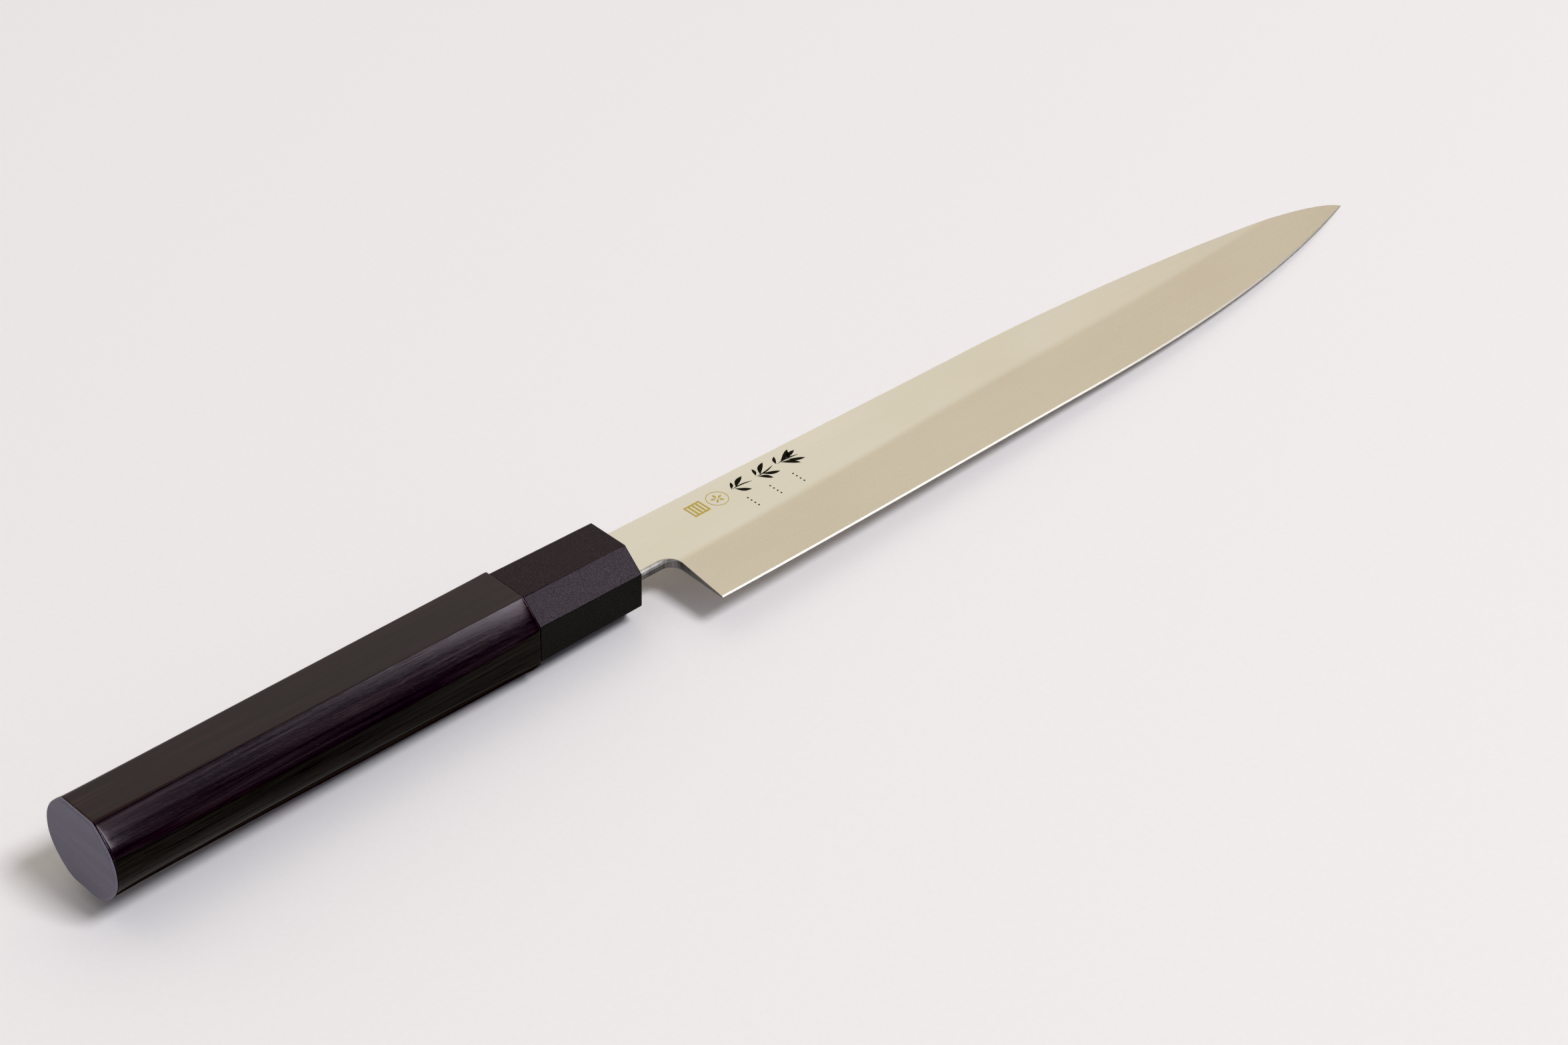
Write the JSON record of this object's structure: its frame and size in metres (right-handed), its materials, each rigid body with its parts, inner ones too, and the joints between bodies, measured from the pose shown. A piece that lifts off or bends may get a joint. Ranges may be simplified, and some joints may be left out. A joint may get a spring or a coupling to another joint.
{
  "type": "single-bevel slicing knife",
  "caption": "Japanese single-bevel slicing knife: long narrow steel blade with a stick tang, set in an octagonal laminated wood handle with a resin ferrule.",
  "frame": {"origin": "under the middle of the knife's box, on the lower side flat of the handle, the knife lying on its side with the bevelled face up", "axes": "+X from the butt towards the tip, +Y from the cutting edge towards the spine, +Z out of the bevelled face of the blade"},
  "size_m": [0.3462, 0.0325, 0.0185],
  "materials": {
    "blade_steel": "fine satin with lengthwise polishing lines, brighter along the cutting edge",
    "ferrule_resin": "moulded, fine spark-eroded texture, satin black-brown",
    "grip_wood": "dark laminated wood, fine lengthwise grain, satin",
    "dowel_wood": "plain turned hardwood, unfinished",
    "cured_epoxy": "cured amber epoxy",
    "seal_compound": "black flexible sealant, matte"
  },
  "bodies": {
    "root": {"blade": "blade_steel", "ferrule": "ferrule_resin", "grip": "grip_wood", "dowel": "dowel_wood", "tang_adhesive": "cured_epoxy", "slot_seal": "seal_compound"}
  },
  "joints": []
}
